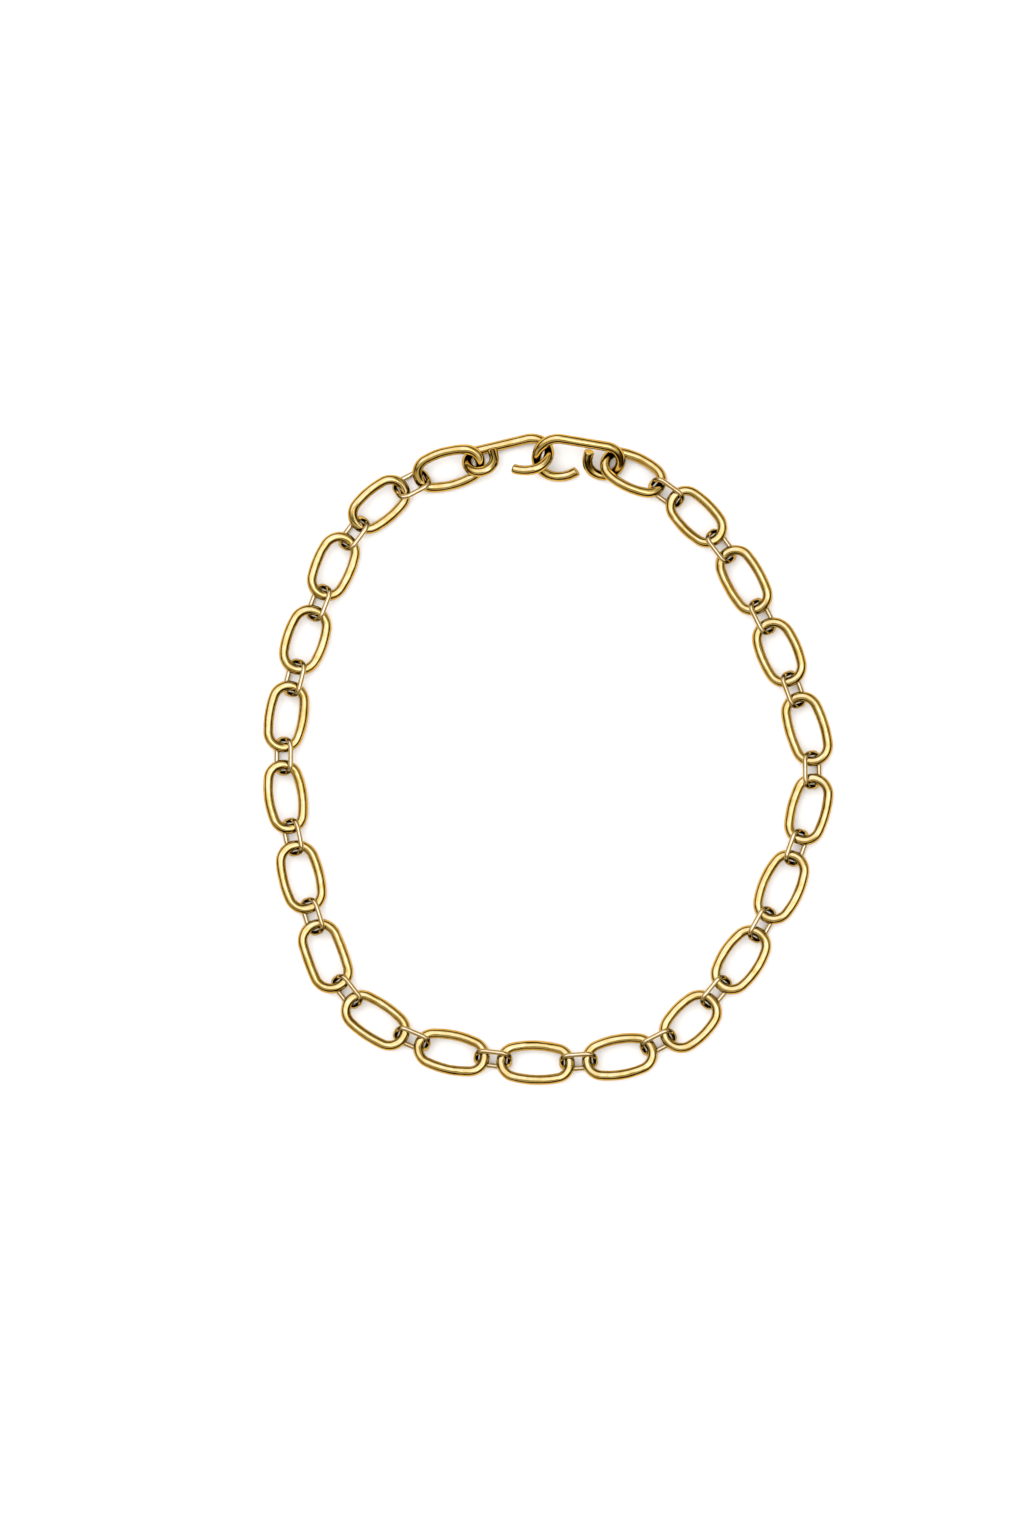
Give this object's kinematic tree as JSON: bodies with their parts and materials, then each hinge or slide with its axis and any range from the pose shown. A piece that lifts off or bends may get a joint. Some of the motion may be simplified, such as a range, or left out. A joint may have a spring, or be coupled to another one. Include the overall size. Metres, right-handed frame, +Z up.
{
  "type": "chain necklace",
  "caption": "Gold chain necklace of large oval links joined by small wire connector rings, closed at the back by two interlocking wire hooks, lying flat.",
  "frame": {"origin": "middle of the necklace's outline, on the surface it lies on", "axes": "+Z up, +Y towards the clasp, X across the loop, with the front of the necklace at -Y"},
  "size_m": [0.1444, 0.1644, 0.0086],
  "materials": {
    "gold": "polished gold with fine brushing",
    "ring_gold": "polished pale gold"
  },
  "bodies": {
    "hook_left": {"hook_left": "gold"},
    "link_01": {"link_01": "gold"},
    "link_02": {"link_02": "gold"},
    "link_03": {"link_03": "gold"},
    "link_04": {"link_04": "gold"},
    "link_05": {"link_05": "gold"},
    "link_06": {"link_06": "gold"},
    "link_07": {"link_07": "gold"},
    "link_08": {"link_08": "gold"},
    "link_09": {"link_09": "gold"},
    "link_10": {"link_10": "gold"},
    "link_11": {"link_11": "gold"},
    "link_12": {"link_12": "gold"},
    "link_13": {"link_13": "gold"},
    "link_14": {"link_14": "gold"},
    "link_15": {"link_15": "gold"},
    "link_16": {"link_16": "gold"},
    "link_17": {"link_17": "gold"},
    "link_18": {"link_18": "gold"},
    "link_19": {"link_19": "gold"},
    "link_20": {"link_20": "gold"},
    "link_21": {"link_21": "gold"},
    "ring_01": {"ring_01": "ring_gold"},
    "ring_02": {"ring_02": "ring_gold"},
    "ring_03": {"ring_03": "ring_gold"},
    "ring_04": {"ring_04": "ring_gold"},
    "ring_05": {"ring_05": "ring_gold"},
    "ring_06": {"ring_06": "ring_gold"},
    "ring_07": {"ring_07": "ring_gold"},
    "ring_08": {"ring_08": "ring_gold"},
    "ring_09": {"ring_09": "ring_gold"},
    "ring_10": {"ring_10": "ring_gold"},
    "ring_11": {"ring_11": "ring_gold"},
    "ring_12": {"ring_12": "ring_gold"},
    "ring_13": {"ring_13": "ring_gold"},
    "ring_14": {"ring_14": "ring_gold"},
    "ring_15": {"ring_15": "ring_gold"},
    "ring_16": {"ring_16": "ring_gold"},
    "ring_17": {"ring_17": "ring_gold"},
    "ring_18": {"ring_18": "ring_gold"},
    "ring_19": {"ring_19": "ring_gold"},
    "ring_20": {"ring_20": "ring_gold"},
    "hook_right": {"hook_right": "gold"}
  },
  "joints": [
    {"name": "yaw_11", "type": "hinge", "parent": "link_11", "child": "ring_11", "pos_m": [0.00117, -0.07661, 0.0031], "axis": [0.0061, 0.1735, 0.9848], "range_deg": [-56, 0]},
    {"name": "pitch_11", "type": "hinge", "parent": "ring_11", "child": "link_12", "pos_m": [0.01007, -0.07599, 0.00305], "axis": [0.0688, -0.9922, 0.104], "range_deg": [0, 22]},
    {"name": "yaw_12", "type": "hinge", "parent": "link_12", "child": "ring_12", "pos_m": [0.02192, -0.07434, 0.0031], "axis": [0.0182, -0.1029, -0.9945], "range_deg": [0, 66]},
    {"name": "pitch_12", "type": "hinge", "parent": "ring_12", "child": "link_13", "pos_m": [0.02992, -0.07018, 0.00305], "axis": [-0.4613, 0.8866, -0.0333], "range_deg": [-50, 50]},
    {"name": "yaw_13", "type": "hinge", "parent": "link_13", "child": "ring_13", "pos_m": [0.03797, -0.06398, 0.0031], "axis": [-0.0247, 0.0247, 0.9994], "range_deg": [-55, 0]},
    {"name": "pitch_13", "type": "hinge", "parent": "ring_13", "child": "link_14", "pos_m": [0.04384, -0.05687, 0.00308], "axis": [0.7711, -0.6357, 0.0347], "range_deg": [-50, 50]},
    {"name": "yaw_14", "type": "hinge", "parent": "link_14", "child": "ring_14", "pos_m": [0.05064, -0.04751, 0.0031], "axis": [0.0289, -0.0195, -0.9994], "range_deg": [-24, 48]},
    {"name": "pitch_14", "type": "hinge", "parent": "ring_14", "child": "link_15", "pos_m": [0.05507, -0.03953, 0.00307], "axis": [-0.8724, 0.4838, -0.0695], "range_deg": [-50, 50]},
    {"name": "yaw_15", "type": "hinge", "parent": "link_15", "child": "ring_15", "pos_m": [0.06035, -0.02858, 0.0031], "axis": [-0.0637, 0.0284, 0.9976], "range_deg": [-54, 45]},
    {"name": "pitch_15", "type": "hinge", "parent": "ring_15", "child": "link_16", "pos_m": [0.0634, -0.01998, 0.00305], "axis": [0.9333, -0.3313, 0.1387], "range_deg": [-50, 50]},
    {"name": "yaw_16", "type": "hinge", "parent": "link_16", "child": "ring_16", "pos_m": [0.06664, -0.00908, 0.0031], "axis": [0.1344, -0.036, -0.9903], "range_deg": [-34, 66]},
    {"name": "pitch_16", "type": "hinge", "parent": "ring_16", "child": "link_17", "pos_m": [0.06649, -0.00026, 0.00302], "axis": [-0.9976, -0.0168, -0.0671], "range_deg": [-50, 50]},
    {"name": "yaw_17", "type": "hinge", "parent": "link_17", "child": "ring_17", "pos_m": [0.06408, 0.01147, 0.0031], "axis": [-0.0667, -0.0204, 0.9976], "range_deg": [-53, 44]},
    {"name": "pitch_17", "type": "hinge", "parent": "ring_17", "child": "link_18", "pos_m": [0.06102, 0.01985, 0.00308], "axis": [0.9375, 0.3411, 0.0697], "range_deg": [-50, 50]},
    {"name": "yaw_18", "type": "hinge", "parent": "link_18", "child": "ring_18", "pos_m": [0.05698, 0.02995, 0.0031], "axis": [0.0642, 0.0273, -0.9976], "range_deg": [-47, 47]},
    {"name": "pitch_18", "type": "hinge", "parent": "ring_18", "child": "link_19", "pos_m": [0.05298, 0.03815, 0.00307], "axis": [-0.8903, -0.4337, -0.139], "range_deg": [-50, 50]},
    {"name": "yaw_19", "type": "hinge", "parent": "link_19", "child": "ring_19", "pos_m": [0.04746, 0.04854, 0.0031], "axis": [-0.1217, -0.0675, 0.9903], "range_deg": [-43, 42]},
    {"name": "pitch_19", "type": "hinge", "parent": "ring_19", "child": "link_20", "pos_m": [0.04215, 0.05559, 0.0031], "axis": [0.7986, 0.6018, 0], "range_deg": [-27, 28]},
    {"name": "yaw_20", "type": "hinge", "parent": "link_20", "child": "ring_20", "pos_m": [0.03502, 0.0635, 0.0031], "axis": [0, 0, -1], "range_deg": [-33, 60]},
    {"name": "pitch_20", "type": "hinge", "parent": "ring_20", "child": "link_21", "pos_m": [0.02781, 0.06861, 0.00327], "axis": [-0.5374, -0.7597, 0.3661], "range_deg": [-50, 50]},
    {"name": "yaw_10", "type": "hinge", "parent": "link_11", "child": "ring_10", "pos_m": [-0.00743, -0.07631, 0.0031], "axis": [0.0061, 0.1735, 0.9848], "range_deg": [0, 55]},
    {"name": "pitch_10", "type": "hinge", "parent": "ring_10", "child": "link_10", "pos_m": [-0.01629, -0.07523, 0.00305], "axis": [-0.1199, -0.9831, 0.1386], "range_deg": [-13, 0]},
    {"name": "yaw_09", "type": "hinge", "parent": "link_10", "child": "ring_09", "pos_m": [-0.02835, -0.07302, 0.0031], "axis": [-0.0289, -0.1361, -0.9903], "range_deg": [-61, 0]},
    {"name": "pitch_09", "type": "hinge", "parent": "ring_09", "child": "link_09", "pos_m": [-0.03657, -0.06954, 0.00306], "axis": [0.39, 0.9194, -0.0514], "range_deg": [-49, 50]},
    {"name": "yaw_08", "type": "hinge", "parent": "link_09", "child": "ring_08", "pos_m": [-0.0467, -0.06364, 0.0031], "axis": [0.0293, 0.0434, 0.9986], "range_deg": [0, 66]},
    {"name": "pitch_08", "type": "hinge", "parent": "ring_08", "child": "link_08", "pos_m": [-0.0522, -0.0566, 0.00305], "axis": [-0.7875, -0.6155, 0.0332], "range_deg": [-49, 49]},
    {"name": "yaw_07", "type": "hinge", "parent": "link_08", "child": "ring_07", "pos_m": [-0.05747, -0.04589, 0.0031], "axis": [-0.0328, -0.0119, -0.9994], "range_deg": [-53, 0]},
    {"name": "pitch_07", "type": "hinge", "parent": "ring_07", "child": "link_07", "pos_m": [-0.06011, -0.03726, 0.00308], "axis": [0.9539, 0.2918, -0.0697], "range_deg": [-50, 50]},
    {"name": "yaw_06", "type": "hinge", "parent": "link_07", "child": "ring_06", "pos_m": [-0.0631, -0.02619, 0.0031], "axis": [0.0677, 0.0169, 0.9976], "range_deg": [-47, 53]},
    {"name": "pitch_06", "type": "hinge", "parent": "ring_06", "child": "link_06", "pos_m": [-0.06484, -0.01723, 0.00307], "axis": [-0.972, -0.1895, 0.139], "range_deg": [-50, 50]},
    {"name": "yaw_05", "type": "hinge", "parent": "link_06", "child": "ring_05", "pos_m": [-0.06669, -0.0056, 0.0031], "axis": [-0.1378, -0.0194, -0.9903], "range_deg": [-53, 41]},
    {"name": "pitch_05", "type": "hinge", "parent": "ring_05", "child": "link_05", "pos_m": [-0.06661, 0.00322, 0.00301], "axis": [0.9905, -0.0072, -0.1376], "range_deg": [-50, 50]},
    {"name": "yaw_04", "type": "hinge", "parent": "link_05", "child": "ring_04", "pos_m": [-0.06545, 0.01431, 0.0031], "axis": [0.1375, -0.0218, 0.9903], "range_deg": [-45, 55]},
    {"name": "pitch_04", "type": "hinge", "parent": "ring_04", "child": "link_04", "pos_m": [-0.06331, 0.02287, 0.00308], "axis": [-0.969, 0.2415, 0.0521], "range_deg": [-50, 50]},
    {"name": "yaw_03", "type": "hinge", "parent": "link_04", "child": "ring_03", "pos_m": [-0.06016, 0.03317, 0.0031], "axis": [-0.0495, 0.017, -0.9986], "range_deg": [-48, 48]},
    {"name": "pitch_03", "type": "hinge", "parent": "ring_03", "child": "link_03", "pos_m": [-0.05689, 0.04169, 0.00308], "axis": [0.9285, -0.3562, -0.1045], "range_deg": [-50, 50]},
    {"name": "yaw_02", "type": "hinge", "parent": "link_03", "child": "ring_02", "pos_m": [-0.05277, 0.05175, 0.0031], "axis": [0.0962, -0.0408, 0.9945], "range_deg": [-36, 63]},
    {"name": "pitch_02", "type": "hinge", "parent": "ring_02", "child": "link_02", "pos_m": [-0.04748, 0.05894, 0.00287], "axis": [-0.7853, 0.5727, 0.2352], "range_deg": [-50, 50]},
    {"name": "yaw_01", "type": "hinge", "parent": "link_02", "child": "ring_01", "pos_m": [-0.04005, 0.06636, 0.0031], "axis": [-0.1555, 0.1853, -0.9703], "range_deg": [-62, 37]},
    {"name": "pitch_01", "type": "hinge", "parent": "ring_01", "child": "link_01", "pos_m": [-0.0322, 0.0705, 0.00251], "axis": [0.4678, -0.8226, -0.3232], "range_deg": [-57, 28]},
    {"name": "roll_left", "type": "hinge", "parent": "link_01", "child": "hook_left", "pos_m": [-0.01702, 0.07467, 0.00361], "axis": [0.9786, 0.1298, 0.1598], "range_deg": [-45, 3]},
    {"name": "roll_right", "type": "hinge", "parent": "link_21", "child": "hook_right", "pos_m": [0.01435, 0.07477, 0.00362], "axis": [-0.9809, 0.1602, 0.1101], "range_deg": [-42, 3]}
  ]
}
